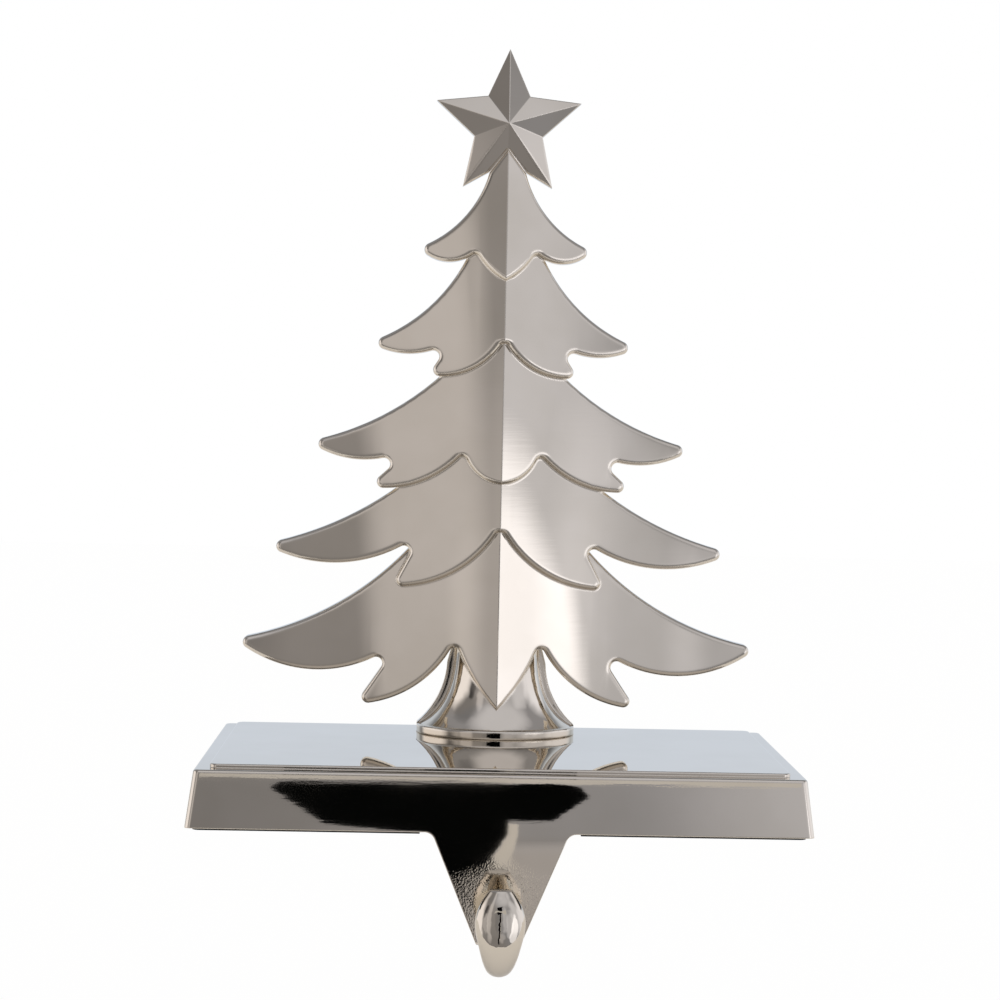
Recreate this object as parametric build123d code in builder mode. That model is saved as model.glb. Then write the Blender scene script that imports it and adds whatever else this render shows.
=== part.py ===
from build123d import *
import os
from collections import namedtuple
from math import atan, cos, degrees, radians, sin, tan

# Mantel stocking holder: a star-topped tree figure screwed to a hollow base, whose front runs down
# into a tongue and a hook. The base stands on the shelf at z = 0 and the front faces -Y.

# Base tray, a hollow casting with drafted sides and a raised panel on top
base_width = 112.0
base_depth = 63.5
skirt_height = 10.2
skirt_draft = 1.3
base_corner = 1.2
base_edge = 0.5
base_wall = 3.4
plate_thickness = 3.5
panel_rise = 0.7
panel_inset = 2.6
panel_corner = 1.5
panel_edge = 0.3
rib_thickness = 2.0
rib_spacing = 44.0

# Non-slip sheet let into the underside of the rim
pad_thickness = 1.0
pad_proud = 0.5
pad_inset = 1.1
pad_clearance = 0.15
pad_corner = 1.5

# Tongue in front of the shelf edge
tongue_width = 24.4
tongue_point = 29.4
tongue_length = 20.0
tongue_thickness = 3.8
tongue_bend = 4.0
tongue_root = 2.0
tongue_edge = 0.6

# Hook, from the tongue's end round the bend and up to the finger's tip
hook_gap = 6.5
hook_drop = 4.5
finger_lean = 6.0
finger_rise = 16.25
bulge_rise = 10.6
finger_width = 8.8
finger_thickness = 4.8
tip_width = 4.1
tip_thickness = 3.5
tip_edge = 0.5
heel_width = 8.2
bend_width = 4.9
bend_thickness = 4.2
root_width = 8.2
root_inset = 0.2

# Tree figure: five folded tiers that overlap like shingles
tree_height = 114.9
ridge_front = 9.8
fold_angle = 10.0
flank_radius = 150.0
tier_step = 1.8
sheet_thickness = 3.0
sheet_edge = 0.9
tip_round = 1.3
notch_round = 1.2
tooth_round = 1.3
peak_round = 1.0
cusp_round = 1.0

# Half outlines of the tiers, in hundredths of the tree's height above the foot: the corners run from the
# top, out to the branch tip and back to the middle, each with the radius of the arc that leaves it
Corner = namedtuple("Corner", "x z arc round", defaults=(0, 0))
tier_shares = (
    (
        Corner(0, 100.35),
        Corner(3.13, 96.34, arc=-18.89),
        Corner(14.88, 83.64, arc=6.79, round=tip_round),
        Corner(5, 82.94, arc=12.1, round=peak_round),
        Corner(0, 77.89),
    ),
    (
        Corner(0, 84.68),
        Corner(5.48, 84.68, arc=-29.07),
        Corner(23.24, 67.28, arc=13.32, round=tip_round),
        Corner(9.23, 67.36, round=notch_round),
        Corner(12.88, 61.79, arc=11.84, round=tooth_round),
        Corner(0, 68.15, round=cusp_round),
    ),
    (
        Corner(0, 69.45),
        Corner(3.92, 69.45, arc=-48.83),
        Corner(33.51, 49.96, arc=16.71, round=tip_round),
        Corner(15.27, 49.3, round=notch_round),
        Corner(22.98, 42.3, arc=18.28, round=tooth_round),
        Corner(6.35, 48.74, arc=7.14, round=peak_round),
        Corner(0, 43.3),
    ),
    (
        Corner(0, 50.3),
        Corner(9.23, 50.3, arc=-58.49),
        Corner(40.99, 31.94, arc=24.72, round=tip_round),
        Corner(13.58, 34.38, round=notch_round),
        Corner(18.36, 25.24, arc=20.37, round=tooth_round),
        Corner(0, 35.99, round=cusp_round),
    ),
    (
        Corner(0, 37.25),
        Corner(11.4, 37.25, arc=-52.57),
        Corner(45.87, 15.32, arc=22.54, round=tip_round),
        Corner(17.06, 15.49, round=notch_round),
        Corner(24.46, 4.53, arc=19.93, round=tooth_round),
        Corner(7.22, 16.28, arc=31.16, round=peak_round),
        Corner(0, 4.66),
    ),
)

# Star on the tree's top
star_rise = 5.15
star_radius = 14.9
star_waist = 7.05
star_peak = 3.6
star_rim = 1.6
star_front = 14.2

# Trunk: a half-round front that flares down, in front of a flat flange, on a foot ring
foot_width = 31.4
foot_reach = 11.0
foot_height = 1.7
foot_edge = 0.35
foot_seam = 0.25
flange_front = 18.6
flange_thickness = 2.9
flange_neck = 9.8
flange_neck_height = 14.0
flange_flare = 17.0
trunk_width = 30.2
trunk_reach = 10.4
neck_width = 16.6
neck_reach = 6.8
neck_height = 15.0
waist_width = 20.6
waist_reach = 8.0
waist_height = 6.6
trunk_top = 38.0
spine_width = 7.0
spine_reach = 3.4

# Two screws from below hold the tree on the base
screw_size = 4.0
screw_length = 11.0
screw_head = 7.6
screw_head_height = 2.8
screw_head_edge = 0.7
screw_point = 0.6
screw_spacing = 11.0
screw_set_back = 16.4
screw_play = 0.4
thread_play = 0.1
bore_spare = 1.0
driver_size = 2.2
driver_depth = 1.5

os.makedirs("parts", exist_ok=True)

front = -base_depth / 2
rim = pad_proud
tray_top = rim + skirt_height
panel_top = tray_top + panel_rise
ceiling = tray_top - plate_thickness
draft_angle = degrees(atan(skirt_draft / skirt_height))
flange_back = flange_front + flange_thickness
bore_top = ceiling + screw_length + bore_spare
root_span = tongue_width + 2 * tongue_root
star_height = tree_height + star_rise
screw_places = ((-screw_spacing / 2, screw_set_back), (screw_spacing / 2, screw_set_back))

# Tongue: its side profile leaves the skirt flush and turns upright, and its front outline narrows downwards
with BuildPart() as tongue:
    with BuildSketch(Plane.YZ):
        with BuildLine():
            lead = (-sin(radians(draft_angle)), -cos(radians(draft_angle)))
            bend = JernArc((front, rim), lead, tongue_bend / sin(radians(draft_angle)), draft_angle)
            face = (bend @ 1).X
            Polyline(
                bend @ 1,
                (face, rim - tongue_length),
                (face + tongue_thickness, rim - tongue_length),
                (face + tongue_thickness, ceiling),
                (front + base_wall / 2, ceiling),
                (front, rim),
            )
        make_face()
    extrude(amount=tongue_width, both=True)
    with BuildSketch(Plane.XZ) as outline:
        narrowing = tongue_width / 2 / tongue_point
        end_width = 2 * narrowing * (tongue_point - tongue_length)
        with Locations((0, (rim + ceiling) / 2)):
            Rectangle(root_span, ceiling - rim)
        with BuildLine():
            Polyline(
                (-tongue_width / 2, rim),
                (tongue_width / 2, rim),
                (end_width / 2, rim - tongue_length),
                (-end_width / 2, rim - tongue_length),
                close=True,
            )
        make_face()
        roots = outline.vertices().group_by(Axis.Y)[1].sort_by(Axis.X)
        fillet(roots[1:-1], tongue_root)
    extrude(amount=base_depth, both=True, mode=Mode.INTERSECT)
    fillet(tongue.faces().sort_by(Axis.Z)[0].edges(), tongue_edge)

# Hook: elliptical sections from inside the tongue's end, round the bend and up the finger
root_y = face + tongue_thickness / 2
finger_y = face - hook_gap - finger_thickness / 2
bend_radius = (root_y - finger_y) / 2
bend_y = (root_y + finger_y) / 2
hook_bottom = rim - tongue_length - hook_drop
bend_z = hook_bottom + bend_thickness / 2 + bend_radius


def bend_plane(turn):
    """Section plane at an angle round the bend, from 0 at the tongue to 180 at the finger."""
    across = Vector(0, cos(radians(turn)), -sin(radians(turn)))
    along = Vector(0, -sin(radians(turn)), -cos(radians(turn)))
    return Plane(Vector(0, bend_y, bend_z) + across * bend_radius, x_dir=(1, 0, 0), z_dir=along)


def finger_plane(rise):
    """Section plane across the leaning finger, with its middle at a rise above the hook's lowest point."""
    start = bend_plane(180 + finger_lean)
    return start.offset((hook_bottom + rise - start.origin.Z) / start.z_dir.Z)


def bend_size(turn, root, lowest, heel):
    """Size of the section at an angle round the bend, smallest at the hook's lowest point."""
    return lowest + (1 - sin(radians(turn))) * ((root if turn < 90 else heel) - lowest)


with BuildPart() as hook:
    for turn in range(0, 180, 30):
        with BuildSketch(bend_plane(turn)):
            Ellipse(
                bend_size(turn, root_width, bend_width, heel_width) / 2,
                bend_size(turn, tongue_thickness - 2 * root_inset, bend_thickness, finger_thickness) / 2,
            )
    with BuildSketch(bend_plane(180 + finger_lean)):
        Ellipse(heel_width / 2, finger_thickness / 2)
    for share in (0, 1 / 3, 2 / 3, 1):
        swell = cos(radians(90 * share))
        with BuildSketch(finger_plane(bulge_rise + share * (finger_rise - bulge_rise))):
            Ellipse(
                (tip_width + swell * (finger_width - tip_width)) / 2,
                (tip_thickness + swell * (finger_thickness - tip_thickness)) / 2,
            )
    loft()
    fillet(hook.faces().sort_by(Axis.Z)[-1].edges(), tip_edge)

# Base tray, open below, with a ledge for the non-slip sheet and two ribs
with BuildPart() as mantel_base:
    with BuildSketch(Plane.XY.offset(rim)):
        Rectangle(base_width, base_depth)
    extrude(amount=skirt_height, taper=draft_angle)
    fillet(mantel_base.edges().filter_by(Axis.Z, tolerance=2 * draft_angle), base_corner)
    fillet(mantel_base.faces().sort_by(Axis.Z)[-1].edges(), base_edge)
    with BuildSketch(Plane.XY.offset(tray_top)):
        RectangleRounded(
            base_width - 2 * (skirt_draft + panel_inset),
            base_depth - 2 * (skirt_draft + panel_inset),
            panel_corner,
        )
    extrude(amount=panel_rise)
    fillet(mantel_base.faces().sort_by(Axis.Z)[-1].edges(), panel_edge)
    with BuildSketch(Plane.XY.offset(rim)):
        Rectangle(base_width - 2 * base_wall, base_depth - 2 * base_wall)
    extrude(amount=ceiling - rim, taper=draft_angle, mode=Mode.SUBTRACT)
    with BuildSketch(Plane.XY.offset(pad_thickness)):
        with GridLocations(rib_spacing, 0, 2, 1):
            Rectangle(rib_thickness, base_depth - base_wall)
    extrude(amount=ceiling - pad_thickness)
    with BuildSketch(Plane.XY.offset(rim)):
        RectangleRounded(base_width - 2 * pad_inset, base_depth - 2 * pad_inset, pad_corner)
    extrude(amount=pad_thickness - rim, mode=Mode.SUBTRACT)
    add(tongue.part)
    add(hook.part)
    with Locations(*[(x, y, panel_top) for x, y in screw_places]):
        Hole((screw_size + screw_play) / 2)

# Non-slip sheet with a notch round the root of the tongue
with BuildPart() as base_pad:
    with BuildSketch():
        RectangleRounded(
            base_width - 2 * (pad_inset + pad_clearance),
            base_depth - 2 * (pad_inset + pad_clearance),
            pad_corner - pad_clearance,
        )
        with Locations((0, front)):
            Rectangle(
                root_span + 2 * pad_clearance,
                2 * (face + tongue_thickness + pad_clearance - front),
                mode=Mode.SUBTRACT,
            )
    extrude(amount=pad_thickness)


def star_corner(turn, radius):
    """Corner of the star at a number of tenth turns from its top point."""
    return (radius * sin(radians(36 * turn)), radius * cos(radians(36 * turn)))


def tier_half(corners, lean):
    """Right half of a tier: its outline cut from a hollow-curved sheet that leans back from its ridge."""
    lowest = panel_top + min(corner.z for corner in corners)
    ridge = Plane((0, ridge_front, lowest), x_dir=(1, 0, 0), z_dir=(0, lean, 1))
    span = tree_height / 2
    with BuildPart() as half:
        with BuildSketch(Plane((0, 0, panel_top), x_dir=(1, 0, 0), z_dir=(0, -1, 0))) as outline:
            with BuildLine():
                for here, there in zip(corners, corners[1:] + corners[:1]):
                    if here.arc:
                        RadiusArc((here.x, here.z), (there.x, there.z), here.arc)
                    else:
                        Line((here.x, here.z), (there.x, there.z))
            make_face()
            for corner in corners:
                if corner.round and corner.x:
                    fillet(outline.vertices().sort_by_distance((corner.x, corner.z))[0], corner.round)
            mirror(about=Plane.YZ)
            for corner in corners:
                if corner.round and not corner.x:
                    fillet(outline.vertices().sort_by_distance((corner.x, corner.z))[0], corner.round)
        extrude(amount=base_depth, both=True)
        with BuildSketch(ridge):
            with BuildLine():
                flank = RadiusArc((0, 0), (span, span * tan(radians(fold_angle))), flank_radius)
                back = RadiusArc(
                    flank @ 0 + Vector(0, sheet_thickness),
                    flank @ 1 + Vector(0, sheet_thickness),
                    flank_radius,
                )
                Line(flank @ 0, back @ 0)
                Line(flank @ 1, back @ 1)
            make_face()
        extrude(amount=tree_height, both=True, mode=Mode.INTERSECT)
        hollow = half.faces().filter_by(lambda face: face.geom_type == GeomType.CYLINDER)
        front_face = hollow.sort_by(SortBy.AREA)[-2:].sort_by(Axis.Y)[0]
        edges = front_face.edges().filter_by(lambda edge: edge.center().X > sheet_edge / 10)
        fillet(edges, sheet_edge)
    return half.part


# Trunk: a foot ring, elliptical sections that rise from it into a spine, and a flange cut flat at the back
with BuildPart() as trunk:
    with BuildSketch(Plane((0, flange_front, panel_top))):
        with BuildLine():
            ring = EllipticalCenterArc((0, 0), foot_width / 2, foot_reach, start_angle=180, arc_size=180)
            Polyline(
                ring @ 1,
                (foot_width / 2, flange_thickness),
                (-foot_width / 2, flange_thickness),
                ring @ 0,
            )
        make_face()
    extrude(amount=foot_height)
    fillet(trunk.faces().sort_by(Axis.Z)[-1].edges().sort_by(Axis.Y)[0], foot_edge)
    fillet(trunk.faces().sort_by(Axis.Z)[0].edges().sort_by(Axis.Y)[0], foot_seam)
    for height, width, reach in (
        (foot_height, trunk_width, trunk_reach),
        (waist_height, waist_width, waist_reach),
        (neck_height, neck_width, neck_reach),
        (trunk_top, spine_width, spine_reach),
    ):
        with BuildSketch(Plane((0, flange_front, panel_top + height))):
            Ellipse(width / 2, reach)
    loft()
    split(bisect_by=Plane((0, flange_back, 0), z_dir=(0, 1, 0)), keep=Keep.BOTTOM)
    with BuildSketch(Plane((0, flange_front, panel_top), x_dir=(1, 0, 0), z_dir=(0, -1, 0))):
        with BuildLine():
            flare = RadiusArc((foot_width / 2, foot_height), (flange_neck, flange_neck_height), flange_flare)
            Polyline(
                flare @ 1,
                (spine_width / 2, trunk_top),
                (0, trunk_top),
                (0, 0),
                (foot_width / 2, 0),
                flare @ 0,
            )
        make_face()
        mirror(about=Plane.YZ)
    extrude(amount=-flange_thickness)
    with BuildSketch(Plane.XY.offset(panel_top)):
        with Locations(*screw_places):
            Circle((screw_size + thread_play) / 2)
    extrude(amount=bore_top - panel_top, mode=Mode.SUBTRACT)

# Tree figure, cast in one piece: tiers, star, trunk and foot
tiers = [
    [
        Corner(*(size * tree_height / 100 for size in (corner.x, corner.z, corner.arc)), corner.round)
        for corner in corners
    ]
    for corners in tier_shares
]
lowest = [min(corner.z for corner in corners) for corners in tiers]
drops = [above - below for above, below in zip(lowest, lowest[1:])]
leans = [tier_step / drop for drop in drops[:1] + drops]
halves = [tier_half(corners, lean) for corners, lean in zip(tiers, leans)]

with BuildPart() as tree_figure:
    for half in halves:
        add(half)
    mirror(about=Plane.YZ)
    star_plane = Plane((0, star_front, panel_top + star_height), x_dir=(1, 0, 0), z_dir=(0, -1, 0))
    with BuildSketch(star_plane) as star:
        with BuildLine():
            for point in range(0, 10, 2):
                Polyline(
                    star_corner(point - 1, star_waist),
                    star_corner(point, star_radius),
                    star_corner(point + 1, star_waist),
                )
        make_face()
    extrude(amount=-star_rim)
    loft([star.sketch.face(), Vertex(*(star_plane.origin + star_plane.z_dir * star_peak))], ruled=True)
    add(trunk.part)

tree_figure.part.label = "tree_figure"
export_step(tree_figure.part, "parts/tree_figure.step")
mantel_base.part.label = "mantel_base"
export_step(mantel_base.part, "parts/mantel_base.step")
base_pad.part.label = "base_pad"
export_step(base_pad.part, "parts/base_pad.step")

# Screws: a pan head under the tray's top and a shank up into the foot
for side, (x, y) in zip(("left", "right"), screw_places):
    with BuildPart() as fixing_screw:
        with BuildSketch(Plane((x, y, ceiling))):
            Circle(screw_head / 2)
        extrude(amount=-screw_head_height)
        fillet(fixing_screw.faces().sort_by(Axis.Z)[0].edges(), screw_head_edge)
        with BuildSketch(Plane((x, y, ceiling))):
            Circle(screw_size / 2)
        extrude(amount=screw_length)
        chamfer(fixing_screw.faces().sort_by(Axis.Z)[-1].edges(), screw_point)
        with BuildSketch(Plane((x, y, ceiling - screw_head_height))):
            RegularPolygon(driver_size / 2, 6, major_radius=False)
        extrude(amount=driver_depth, mode=Mode.SUBTRACT)
    fixing_screw.part.label = "fixing_screw_" + side
    export_step(fixing_screw.part, "parts/fixing_screw_" + side + ".step")
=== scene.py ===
import math

import bpy
from mathutils import Matrix, Vector


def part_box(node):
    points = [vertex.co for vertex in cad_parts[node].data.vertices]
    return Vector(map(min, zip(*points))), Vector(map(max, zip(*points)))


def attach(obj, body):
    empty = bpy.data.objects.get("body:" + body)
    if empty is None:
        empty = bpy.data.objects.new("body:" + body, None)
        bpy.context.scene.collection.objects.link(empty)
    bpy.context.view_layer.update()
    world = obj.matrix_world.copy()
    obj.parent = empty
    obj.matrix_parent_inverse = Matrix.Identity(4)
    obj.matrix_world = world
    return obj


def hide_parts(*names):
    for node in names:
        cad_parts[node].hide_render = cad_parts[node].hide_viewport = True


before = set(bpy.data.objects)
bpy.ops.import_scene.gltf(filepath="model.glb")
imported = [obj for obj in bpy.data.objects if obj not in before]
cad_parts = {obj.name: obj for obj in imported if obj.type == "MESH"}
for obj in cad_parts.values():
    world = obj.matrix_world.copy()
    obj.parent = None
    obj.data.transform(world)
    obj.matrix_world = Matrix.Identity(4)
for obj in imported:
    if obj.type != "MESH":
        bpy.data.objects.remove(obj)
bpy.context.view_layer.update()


# The base: a hollow tray cast in one piece with its front tongue and upturned hook, polished and
# nickel-plated. Its skin is the CAD solid's own, welded, with the fillets shaded into the flats.
mm = 0.001
weld_gap = 0.004 * mm
crease_angle = math.radians(28)
middle_width = 0.002 * mm
flat_weight = 90


def welded_skin(node, name):
    """A copy of a CAD node's mesh with its loose triangles joined and its fillets shaded smooth."""
    skin = bpy.data.objects.new(name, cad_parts[node].data.copy())
    bpy.context.scene.collection.objects.link(skin)
    bpy.ops.object.select_all(action="DESELECT")
    bpy.context.view_layer.objects.active = skin
    skin.select_set(True)
    bpy.ops.mesh.customdata_custom_splitnormals_clear()
    bpy.ops.object.mode_set(mode="EDIT")
    bpy.ops.mesh.select_all(action="SELECT")
    bpy.ops.mesh.remove_doubles(threshold=weld_gap)
    bpy.ops.object.mode_set(mode="OBJECT")
    bpy.ops.object.shade_smooth_by_angle(angle=crease_angle)
    # Edges in the middle plane, such as the tree's ridge, stay sharp.
    for edge in skin.data.edges:
        if all(abs(skin.data.vertices[i].co.x) < middle_width for i in edge.vertices):
            edge.use_edge_sharp = True
    flats = skin.modifiers.new("flats_stay_flat", "WEIGHTED_NORMAL")
    flats.mode = "FACE_AREA_WITH_ANGLE"
    flats.keep_sharp = True
    flats.weight = flat_weight
    bpy.ops.object.modifier_apply(modifier=flats.name)
    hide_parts(node)
    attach(skin, "root")
    return skin


def linear(code):
    """A '#rrggbb' sRGB colour as the linear RGBA that a shader socket takes."""
    shares = [int(code[i:i + 2], 16) / 255 for i in (1, 3, 5)]
    return [s / 12.92 if s <= 0.04045 else ((s + 0.055) / 1.055) ** 2.4 for s in shares] + [1.0]


def add(owner, kind, inputs=None, **settings):
    """A node in a material's or world's tree, with its settings, and its inputs set or linked."""
    made = owner.node_tree.nodes.new(kind)
    for key, value in settings.items():
        setattr(made, key, value)
    for socket, value in (inputs or {}).items():
        if isinstance(value, bpy.types.NodeSocket):
            owner.node_tree.links.new(value, made.inputs[socket])
        else:
            made.inputs[socket].default_value = value
    return made


def per_metre(size):
    """Noise scale that gives features of a size in millimetres."""
    return 1 / (size * mm)


def bare_material(name):
    """A new material with an empty node tree."""
    material = bpy.data.materials.new(name)
    material.use_nodes = True
    material.node_tree.nodes.clear()
    return material


# Nickel plate on a polished casting: a warm, nearly mirror-bright metal with faint smudges. The buffing
# wheel leaves a slow waviness and fine lines, which are drawn coarser than real ones so that they show. Low
# on the tongue, which it hardly reaches, the casting's orange peel still breaks up what the plate mirrors.
smudge_size, wave_size, line_gap, peel_cell = 22, 14, 0.7, 0.28
wave_depth, line_depth, peel_depth = 0.005 * mm, 0.001 * mm, 0.010 * mm
line_stretch = (0.06, 0.15, 1.0)
base_lowest, base_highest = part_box("mantel_base")
panel_top = base_highest.z / mm
hook_front = base_lowest.y / mm

nickel = bare_material("polished_nickel_plate")
place = add(nickel, "ShaderNodeTexCoord").outputs["Object"]
axes = add(nickel, "ShaderNodeSeparateXYZ", {"Vector": place})
height = axes.outputs["Z"]
off_ridge = add(nickel, "ShaderNodeMath", {0: axes.outputs["X"]}, operation="ABSOLUTE").outputs[0]
smudge = add(nickel, "ShaderNodeTexNoise", {
    "Vector": place, "Scale": per_metre(smudge_size), "Detail": 3.0, "Roughness": 0.6})
tone = add(nickel, "ShaderNodeValToRGB", {"Fac": smudge.outputs["Fac"]})
tone.color_ramp.elements[0].position = 0.35
tone.color_ramp.elements[0].color = linear("#d5cdc0")
tone.color_ramp.elements[1].position = 0.62
tone.color_ramp.elements[1].color = linear("#dcd4c8")
haze = add(nickel, "ShaderNodeMapRange", {
    "Value": smudge.outputs["Fac"], "From Min": 0.3, "From Max": 0.7, "To Min": 0.03, "To Max": 0.008})

# The wheel rounds the edges by the low radius at the foot of the base. Each row changes that, in millimetres,
# between two heights or near the tree's ridge: more at the skirt's shoulder, less at the panel's edge, more
# on the trunk's foot and the tiers, less on the star and the ridge.
low_round, least_round = 0.3 * mm, 0.25 * mm
edge_round = low_round
for measure, start, end, change in (
    (height, panel_top - 4.4, panel_top - 2.4, 0.15),
    (height, panel_top - 1.1, panel_top - 0.8, -0.2),
    (height, panel_top, panel_top + 0.2, 0.35),
    (height, panel_top + 1.6, panel_top + 4.6, 0.15),
    (height, panel_top + 114.6, panel_top + 117.6, -0.4),
    (off_ridge, 1.6, 0.8, -0.4),
):
    zone = add(nickel, "ShaderNodeMapRange", {
        "Value": measure, "From Min": start * mm, "From Max": end * mm, "To Min": 0.0, "To Max": change * mm})
    edge_round = add(nickel, "ShaderNodeMath", {0: edge_round, 1: zone.outputs["Result"]},
                     operation="ADD").outputs[0]
radius = add(nickel, "ShaderNodeMath", {0: edge_round, 1: least_round}, operation="MAXIMUM")
rounded = add(nickel, "ShaderNodeBevel", {"Radius": radius.outputs[0]}, samples=8)

wave = add(nickel, "ShaderNodeTexNoise", {"Vector": place, "Scale": per_metre(wave_size), "Detail": 1.0})
wave_bump = add(nickel, "ShaderNodeBump", {
    "Height": wave.outputs["Fac"], "Strength": 1.0, "Distance": wave_depth,
    "Normal": rounded.outputs["Normal"]})

# The lines are a little fainter on the base, and neither they nor the peel reach the hook's bright finger.
stroke = add(nickel, "ShaderNodeMapping", {"Vector": place, "Scale": line_stretch})
lines = add(nickel, "ShaderNodeTexNoise", {
    "Vector": stroke.outputs["Vector"], "Scale": per_metre(line_gap), "Detail": 2.0})
on_tree = add(nickel, "ShaderNodeMapRange", {
    "Value": height, "From Min": (panel_top - 0.4) * mm, "From Max": (panel_top + 2.6) * mm,
    "To Min": 0.7, "To Max": 1.0})
off_finger = add(nickel, "ShaderNodeMapRange", {
    "Value": axes.outputs["Y"], "From Min": (hook_front + 7.26) * mm, "From Max": (hook_front + 9.26) * mm})
lines_share = add(nickel, "ShaderNodeMath", {
    0: on_tree.outputs["Result"], 1: off_finger.outputs["Result"]}, operation="MULTIPLY")
lines_height = add(nickel, "ShaderNodeMath", {
    0: lines.outputs["Fac"], 1: lines_share.outputs[0]}, operation="MULTIPLY")
lines_bump = add(nickel, "ShaderNodeBump", {
    "Height": lines_height.outputs[0], "Strength": 1.0, "Distance": line_depth,
    "Normal": wave_bump.outputs["Normal"]})

peel = add(nickel, "ShaderNodeTexNoise", {"Vector": place, "Scale": per_metre(peel_cell), "Detail": 1.0})
unbuffed = add(nickel, "ShaderNodeMapRange", {
    "Value": height, "From Min": -3 * mm, "From Max": -9 * mm, "To Min": 0.02, "To Max": 1.0},
    interpolation_type="SMOOTHSTEP")
peel_share = add(nickel, "ShaderNodeMath", {
    0: unbuffed.outputs["Result"], 1: off_finger.outputs["Result"]}, operation="MULTIPLY")
peel_height = add(nickel, "ShaderNodeMath", {
    0: peel.outputs["Fac"], 1: peel_share.outputs[0]}, operation="MULTIPLY")
peel_bump = add(nickel, "ShaderNodeBump", {
    "Height": peel_height.outputs[0], "Strength": 1.0, "Distance": peel_depth,
    "Normal": lines_bump.outputs["Normal"]})
plate = add(nickel, "ShaderNodeBsdfPrincipled", {
    "Base Color": tone.outputs["Color"], "Metallic": 1.0, "Roughness": haze.outputs["Result"],
    "Normal": peel_bump.outputs["Normal"]})
add(nickel, "ShaderNodeOutputMaterial", {"Surface": plate.outputs["BSDF"]})

base = welded_skin("mantel_base", "base_casting")
base.data.materials.clear()
base.data.materials.append(nickel)


# The tree: five folded tiers, a faceted star, a flared trunk and its foot ring, cast in one piece and
# finished as the base is. It stands on the base's raised panel.
tree = welded_skin("tree_figure", "tree_casting")
tree.data.materials.clear()
tree.data.materials.append(nickel)


# Two zinc-plated pan-head screws hold the tree from inside the tray. They are the CAD nodes, with a
# finish that shows the plating's fine grey grain.
grain_size, grain_depth = 0.6, 0.004 * mm
zinc = bare_material("zinc_plated_steel")
place = add(zinc, "ShaderNodeTexCoord").outputs["Object"]
grain = add(zinc, "ShaderNodeTexNoise", {"Vector": place, "Scale": per_metre(grain_size), "Detail": 3.0})
tone = add(zinc, "ShaderNodeValToRGB", {"Fac": grain.outputs["Fac"]})
tone.color_ramp.elements[0].color = linear("#9aa0a6")
tone.color_ramp.elements[1].color = linear("#bcc0c3")
grain_bump = add(zinc, "ShaderNodeBump", {
    "Height": grain.outputs["Fac"], "Strength": 1.0, "Distance": grain_depth})
plate = add(zinc, "ShaderNodeBsdfPrincipled", {
    "Base Color": tone.outputs["Color"], "Metallic": 1.0, "Roughness": 0.34,
    "Normal": grain_bump.outputs["Normal"]})
add(zinc, "ShaderNodeOutputMaterial", {"Surface": plate.outputs["BSDF"]})
for screw in ("fixing_screw_left", "fixing_screw_right"):
    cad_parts[screw].data.materials.clear()
    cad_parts[screw].data.materials.append(zinc)


# The non-slip sheet: black foam rubber, stamped out and glued under the tray. Its cells show as fine
# pits in a matt skin.
cell_size, pit_depth = 0.7, 0.15 * mm
foam = bare_material("black_foam_rubber")
place = add(foam, "ShaderNodeTexCoord").outputs["Object"]
cells = add(foam, "ShaderNodeTexVoronoi", {"Vector": place, "Scale": per_metre(cell_size)})
tone = add(foam, "ShaderNodeValToRGB", {"Fac": cells.outputs["Distance"]})
tone.color_ramp.elements[0].color = linear("#0d0d0e")
tone.color_ramp.elements[1].color = linear("#232324")
pits = add(foam, "ShaderNodeBump", {
    "Height": cells.outputs["Distance"], "Strength": 0.6, "Distance": pit_depth})
rubber = add(foam, "ShaderNodeBsdfPrincipled", {
    "Base Color": tone.outputs["Color"], "Roughness": 0.85, "Normal": pits.outputs["Normal"]})
add(foam, "ShaderNodeOutputMaterial", {"Surface": rubber.outputs["BSDF"]})
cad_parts["base_pad"].data.materials.clear()
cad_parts["base_pad"].data.materials.append(foam)


# The studio: a white floor well below the hook, a white tent of light round the object with softboxes
# to its left and right and a dim front, and what stands close in front, which the metal mirrors.
floor_size, floor_front, floor_drop = 2.0, -0.12, 0.06
bpy.ops.object.select_all(action="DESELECT")
bpy.ops.mesh.primitive_plane_add(size=floor_size, location=(0, floor_front + floor_size / 2, -floor_drop))
floor = bpy.context.object
floor.name = "studio_floor"
paper = bare_material("white_paper")
rays = add(paper, "ShaderNodeLightPath")
matt = add(paper, "ShaderNodeBsdfDiffuse", {"Color": linear("#f0ece8")})
glow = add(paper, "ShaderNodeEmission", {"Color": linear("#ffffff"), "Strength": 1.0})
share = add(paper, "ShaderNodeMath", {0: rays.outputs["Is Camera Ray"], 1: 0.97}, operation="MULTIPLY")
mixed = add(paper, "ShaderNodeMixShader", {0: share.outputs[0], 1: matt.outputs[0], 2: glow.outputs[0]})
add(paper, "ShaderNodeOutputMaterial", {"Surface": mixed.outputs[0]})
floor.data.materials.append(paper)

studio = bpy.data.worlds.new("white_tent")
studio.use_nodes = True
studio.node_tree.nodes.clear()
bpy.context.scene.world = studio
heading = add(studio, "ShaderNodeTexCoord").outputs["Generated"]


def toward(azimuth, elevation):
    """Unit vector from the object: azimuth 0 is the front, 90 the right side."""
    a, e = math.radians(azimuth), math.radians(elevation)
    return (math.sin(a) * math.cos(e), -math.cos(a) * math.cos(e), math.sin(e))


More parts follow.
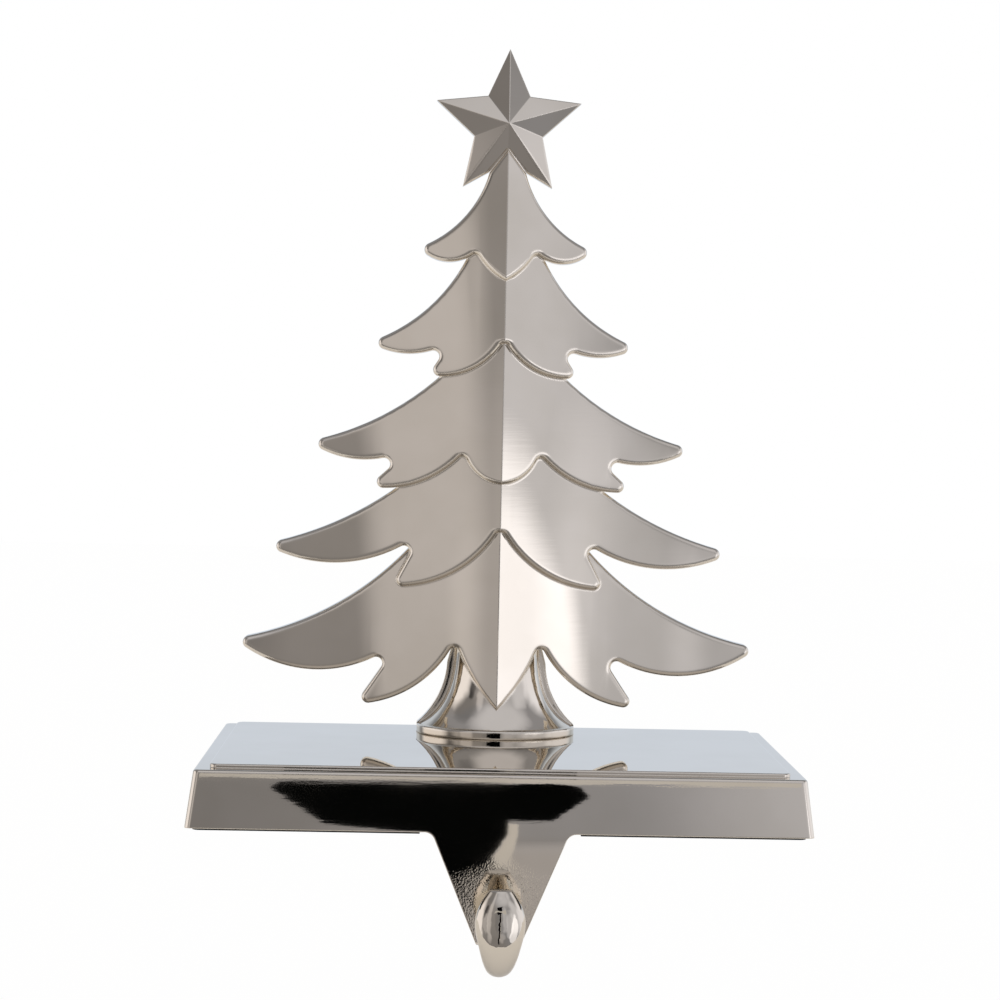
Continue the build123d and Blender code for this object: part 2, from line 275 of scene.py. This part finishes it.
# Each light or dark patch of the tent: where it is, how wide its even middle and its soft edge are, how
# many times as tall as wide it is, and how much it adds to the dim front.
dim_front = 0.37
level = dim_front
for azimuth, elevation, inner, outer, tall, amount in (
    # Behind and above
    (180, 0, 38, 56, 1, 0.51),
    (180, 60, 15, 40, 1, -0.22),
    (10, 48, 18, 42, 1, 0.40),
    # Right half of the front
    (44.5, -8, 14.2, 16.4, 1, 0.78),
    (50, 10, 8, 24, 1, 0.45),
    (28, 0, 6, 13, 1, 0.33),
    (14, 5, 3, 9, 1, 0.26),
    (5, 5, 6, 11, 1, 0.04),
    (6, -10, 4, 10, 1, 0.20),
    # Left half of the front
    (-7, 6, 3, 8, 1, -0.06),
    (-31, 8, 4, 9, 4, 0.30),
    (-44, 1, 5, 11, 1, 0.18),
    (-51, 14, 3, 10, 1, -0.20),
    (-60, 33, 10, 28, 1, -0.12),
    (-15, -42, 25, 60, 1, -0.10),
    # Softboxes at the sides
    (-88, 0, 20, 36, 1, 0.80),
    (97, 0, 20, 42, 1, 0.80),
):
    squeezed = add(studio, "ShaderNodeVectorMath", {0: heading, 1: (1, 1, 1 / tall)}, operation="MULTIPLY")
    ray = add(studio, "ShaderNodeVectorMath", {0: squeezed.outputs["Vector"]}, operation="NORMALIZE")
    aim = add(studio, "ShaderNodeVectorMath", {
        0: ray.outputs["Vector"], 1: toward(azimuth, elevation / tall)}, operation="DOT_PRODUCT")
    lobe = add(studio, "ShaderNodeMapRange", {
        "Value": aim.outputs["Value"], "From Min": math.cos(math.radians(outer)),
        "From Max": math.cos(math.radians(inner)), "To Min": 0.0, "To Max": amount},
        interpolation_type="SMOOTHSTEP")
    level = add(studio, "ShaderNodeMath", {0: level, 1: lobe.outputs["Result"]},
                operation="ADD").outputs[0]

# The tent is a little warm on the left, nearly neutral on the right and cool behind.
side = add(studio, "ShaderNodeVectorMath", {0: heading, 1: toward(100, 45)}, operation="DOT_PRODUCT")
across = add(studio, "ShaderNodeMapRange", {
    "Value": side.outputs["Value"], "From Min": -0.23, "From Max": 0.0})
cast = add(studio, "ShaderNodeValToRGB", {"Fac": across.outputs["Result"]})
cast.color_ramp.elements[0].color = linear("#fffbfd")
cast.color_ramp.elements[1].color = linear("#f5f6ff")
back = add(studio, "ShaderNodeVectorMath", {0: heading, 1: toward(180, 0)}, operation="DOT_PRODUCT")
behind = add(studio, "ShaderNodeMapRange", {"Value": back.outputs["Value"], "From Min": 0.3, "From Max": 0.7})
tint = add(studio, "ShaderNodeMix", {
    0: behind.outputs["Result"], 6: cast.outputs["Color"], 7: linear("#e7f1ff")}, data_type="RGBA")
tent = add(studio, "ShaderNodeBackground", {"Color": tint.outputs[2], "Strength": level})
white = add(studio, "ShaderNodeBackground", {"Color": linear("#ffffff"), "Strength": 1.0})
rays = add(studio, "ShaderNodeLightPath")
seen = add(studio, "ShaderNodeMath", {
    0: rays.outputs["Is Camera Ray"], 1: rays.outputs["Is Diffuse Ray"]}, operation="MAXIMUM")
sky = add(studio, "ShaderNodeMixShader", {0: seen.outputs[0], 1: tent.outputs[0], 2: white.outputs[0]})
add(studio, "ShaderNodeOutputWorld", {"Surface": sky.outputs[0]})

# Cards for what the metal alone sees in front: the camera body, its lens, its stand, the stand's lit side and
# the pale wall behind them. Each has its distance and its corners in millimetres.
for name, shade, ahead, corners in (
    ("camera_body", "#060707", 425, ((-70, 43), (-66, 44.8), (35, 46), (41, 44.5), (44, 41.5), (31, 32.5),
                                     (15, 31.8), (-15.5, 27), (-50, 30))),
    ("camera_lens", "#060707", 425, ((-66, 57), (40, 57), (40, 92), (-66, 92))),
    ("camera_stand", "#060707", 425, ((-15, 34), (15, 34), (9, -88), (-6, -100), (-12, -165), (-34, -165),
                                      (-28, -70), (-15, -40))),
    ("stand_lit_side", "#d8d4d0", 425, ((15, 31), (18.5, 31), (16, -105), (9, -105))),
    ("pale_wall", "#d2cfcc", 427, ((-105, 46.4), (125, 46.4), (125, 57), (-105, 57))),
):
    bpy.ops.object.select_all(action="DESELECT")
    bpy.ops.mesh.primitive_circle_add(vertices=len(corners), radius=1, fill_type="NGON")
    card = bpy.context.object
    card.name = name
    for vertex, corner in zip(card.data.vertices, corners):
        vertex.co = Vector((corner[0], -ahead, corner[1])) * mm
    card.visible_camera = False
    card.visible_diffuse = False
    card.visible_shadow = False
    coat = bare_material(name)
    glow = add(coat, "ShaderNodeEmission", {"Color": linear(shade), "Strength": 1.0})
    add(coat, "ShaderNodeOutputMaterial", {"Surface": glow.outputs[0]})
    card.data.materials.append(coat)


# The camera: a short telephoto 0.42 m in front of the object and half way up it, a little left of its
# middle. It is turned a little to the right and down, and rolled by about a degree.
lens = bpy.data.cameras.new("photo_camera")
lens.sensor_width = 36
lens.lens = 79.2
lens.clip_start = 0.01
camera = bpy.data.objects.new("photo_camera", lens)
bpy.context.scene.collection.objects.link(camera)
camera_place = Vector((-12.3, -418.95, 73.0)) * mm
yaw, pitch, roll = (math.radians(angle) for angle in (1.61, -1.98, 1.26))
forward = Vector((math.sin(yaw) * math.cos(pitch), math.cos(yaw) * math.cos(pitch), math.sin(pitch)))
level_right = Vector((math.cos(yaw), -math.sin(yaw), 0))
level_up = level_right.cross(forward)
right = level_right * math.cos(roll) + level_up * math.sin(roll)
up = level_up * math.cos(roll) - level_right * math.sin(roll)
turn = Matrix((right, up, -forward)).transposed()
camera.matrix_world = Matrix.Translation(camera_place) @ turn.to_4x4()
bpy.context.scene.camera = camera
bpy.context.scene.view_settings.view_transform = "Standard"
